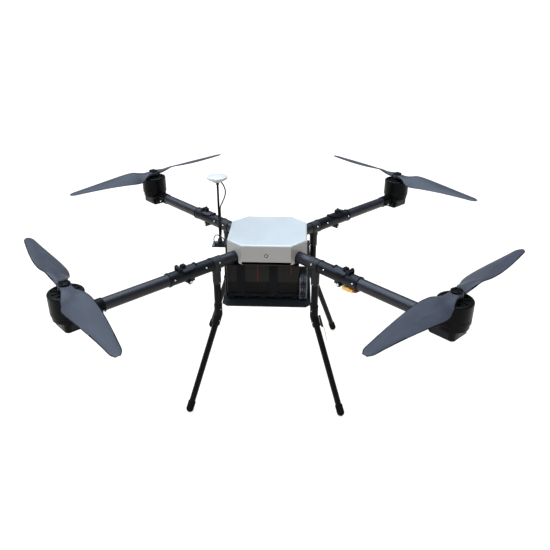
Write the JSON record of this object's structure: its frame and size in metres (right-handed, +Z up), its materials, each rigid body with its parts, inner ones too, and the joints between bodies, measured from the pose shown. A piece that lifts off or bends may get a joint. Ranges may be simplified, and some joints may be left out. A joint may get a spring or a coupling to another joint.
{
  "type": "folding quadcopter drone",
  "caption": "Folding multirotor airframe with landing legs, outrunner motors, two-blade propellers, battery bay under a silver canopy and a GPS antenna on a mast.",
  "frame": {"origin": "on the ground midway between the four feet, below the centre of the canopy", "axes": "+Z up, -Y towards the front of the airframe, +X to its right when seen from the front"},
  "size_m": [1.2045, 1.2871, 0.5878],
  "materials": {
    "carbon_tube": "satin woven carbon tube with a faint blue sheen",
    "carbon_plate": "satin carbon plate with milled edges",
    "black_anodised": "black anodised aluminium with steel screws",
    "latch_black": "black anodised latch, edges slightly polished",
    "motor_housing": "matte black moulded motor mount",
    "motor_bell": "black anodised bell with open spokes on top",
    "blade_carbon": "satin blue-grey carbon with fine fibre lines",
    "canopy_silver": "satin silver paint",
    "leg_nylon": "matte black glass-filled nylon",
    "leg_lower": "black tube with nylon elbow and rubber foot",
    "black_nylon": "matte black nylon",
    "battery_wrap": "dark shrink wrap with a plain label and red stripes",
    "strap_webbing": "black woven webbing",
    "module_grey": "grey moulded case with metal terminals",
    "controller_case": "dark moulded case",
    "puck_white": "white moulded plastic",
    "cable_jacket": "black cable jacket",
    "plug_yellow": "amber nylon plug"
  },
  "bodies": {
    "airframe": {"arm_root_tube_fr": "carbon_tube", "fold_inner_fr": "black_anodised", "leg_clamp_fr": "leg_nylon", "leg_upper_fr": "carbon_tube", "leg_lower_fr": "leg_lower", "arm_root_tube_br": "carbon_tube", "fold_inner_br": "black_anodised", "leg_clamp_br": "leg_nylon", "leg_upper_br": "carbon_tube", "leg_lower_br": "leg_lower", "arm_root_tube_bl": "carbon_tube", "fold_inner_bl": "black_anodised", "leg_clamp_bl": "leg_nylon", "leg_upper_bl": "carbon_tube", "leg_lower_bl": "leg_lower", "arm_root_tube_fl": "carbon_tube", "fold_inner_fl": "black_anodised", "leg_clamp_fl": "leg_nylon", "leg_upper_fl": "carbon_tube", "leg_lower_fl": "leg_lower", "canopy": "canopy_silver", "frame_plate_upper": "carbon_plate", "frame_plate_lower": "carbon_plate", "flight_controller": "controller_case", "battery_tray": "carbon_plate", "battery": "battery_wrap", "battery_strap_left": "strap_webbing", "battery_strap_right": "strap_webbing", "power_module": "module_grey", "gps_base": "black_nylon", "gps_cable_tail": "cable_jacket", "receiver_antenna": "black_nylon"},
    "arm_fr": {"fold_outer_fr": "black_anodised", "arm_tube_fr": "carbon_tube", "motor_mount_fr": "motor_housing", "power_plug": "plug_yellow"},
    "latch_fr": {"fold_latch_fr": "latch_black"},
    "rotor_fr": {"motor_bell_fr": "motor_bell", "propeller_fr": "blade_carbon"},
    "arm_br": {"fold_outer_br": "black_anodised", "arm_tube_br": "carbon_tube", "motor_mount_br": "motor_housing"},
    "latch_br": {"fold_latch_br": "latch_black"},
    "rotor_br": {"motor_bell_br": "motor_bell", "propeller_br": "blade_carbon"},
    "arm_bl": {"fold_outer_bl": "black_anodised", "arm_tube_bl": "carbon_tube", "motor_mount_bl": "motor_housing"},
    "latch_bl": {"fold_latch_bl": "latch_black"},
    "rotor_bl": {"motor_bell_bl": "motor_bell", "propeller_bl": "blade_carbon"},
    "arm_fl": {"fold_outer_fl": "black_anodised", "arm_tube_fl": "carbon_tube", "motor_mount_fl": "motor_housing"},
    "latch_fl": {"fold_latch_fl": "latch_black"},
    "rotor_fl": {"motor_bell_fl": "motor_bell", "propeller_fl": "blade_carbon"},
    "gps_mast": {"gps_mast": "black_nylon", "gps_puck": "puck_white", "gps_cable": "cable_jacket"}
  },
  "joints": [
    {"name": "arm_fold_fr", "type": "hinge", "parent": "airframe", "child": "arm_fr", "pos_m": [0.18809, -0.18809, 0.3859], "axis": [0.7071, 0.7071, 0], "range_deg": [0, 82]},
    {"name": "latch_lift_fr", "type": "hinge", "parent": "arm_fr", "child": "latch_fr", "pos_m": [0.20435, -0.20435, 0.426], "axis": [0.7071, 0.7071, 0], "range_deg": [0, 100]},
    {"name": "rotor_spin_fr", "type": "hinge", "parent": "arm_fr", "child": "rotor_fr", "pos_m": [0.39952, -0.39952, 0.4644], "axis": [0, 0, 1], "continuous": true},
    {"name": "arm_fold_br", "type": "hinge", "parent": "airframe", "child": "arm_br", "pos_m": [0.18809, 0.18809, 0.3859], "axis": [-0.7071, 0.7071, 0], "range_deg": [0, 82]},
    {"name": "latch_lift_br", "type": "hinge", "parent": "arm_br", "child": "latch_br", "pos_m": [0.20435, 0.20435, 0.426], "axis": [-0.7071, 0.7071, 0], "range_deg": [0, 100]},
    {"name": "rotor_spin_br", "type": "hinge", "parent": "arm_br", "child": "rotor_br", "pos_m": [0.39952, 0.39952, 0.4644], "axis": [0, 0, 1], "continuous": true},
    {"name": "arm_fold_bl", "type": "hinge", "parent": "airframe", "child": "arm_bl", "pos_m": [-0.18809, 0.18809, 0.3859], "axis": [-0.7071, -0.7071, 0], "range_deg": [0, 82]},
    {"name": "latch_lift_bl", "type": "hinge", "parent": "arm_bl", "child": "latch_bl", "pos_m": [-0.20435, 0.20435, 0.426], "axis": [-0.7071, -0.7071, 0], "range_deg": [0, 100]},
    {"name": "rotor_spin_bl", "type": "hinge", "parent": "arm_bl", "child": "rotor_bl", "pos_m": [-0.39952, 0.39952, 0.4644], "axis": [0, 0, 1], "continuous": true},
    {"name": "arm_fold_fl", "type": "hinge", "parent": "airframe", "child": "arm_fl", "pos_m": [-0.18809, -0.18809, 0.3859], "axis": [0.7071, -0.7071, 0], "range_deg": [0, 82]},
    {"name": "latch_lift_fl", "type": "hinge", "parent": "arm_fl", "child": "latch_fl", "pos_m": [-0.20435, -0.20435, 0.426], "axis": [0.7071, -0.7071, 0], "range_deg": [0, 100]},
    {"name": "rotor_spin_fl", "type": "hinge", "parent": "arm_fl", "child": "rotor_fl", "pos_m": [-0.39952, -0.39952, 0.4644], "axis": [0, 0, 1], "continuous": true},
    {"name": "gps_mast_fold", "type": "hinge", "parent": "airframe", "child": "gps_mast", "pos_m": [-0.133, 0.017, 0.405], "axis": [0, -1, 0], "range_deg": [0, 90]}
  ]
}
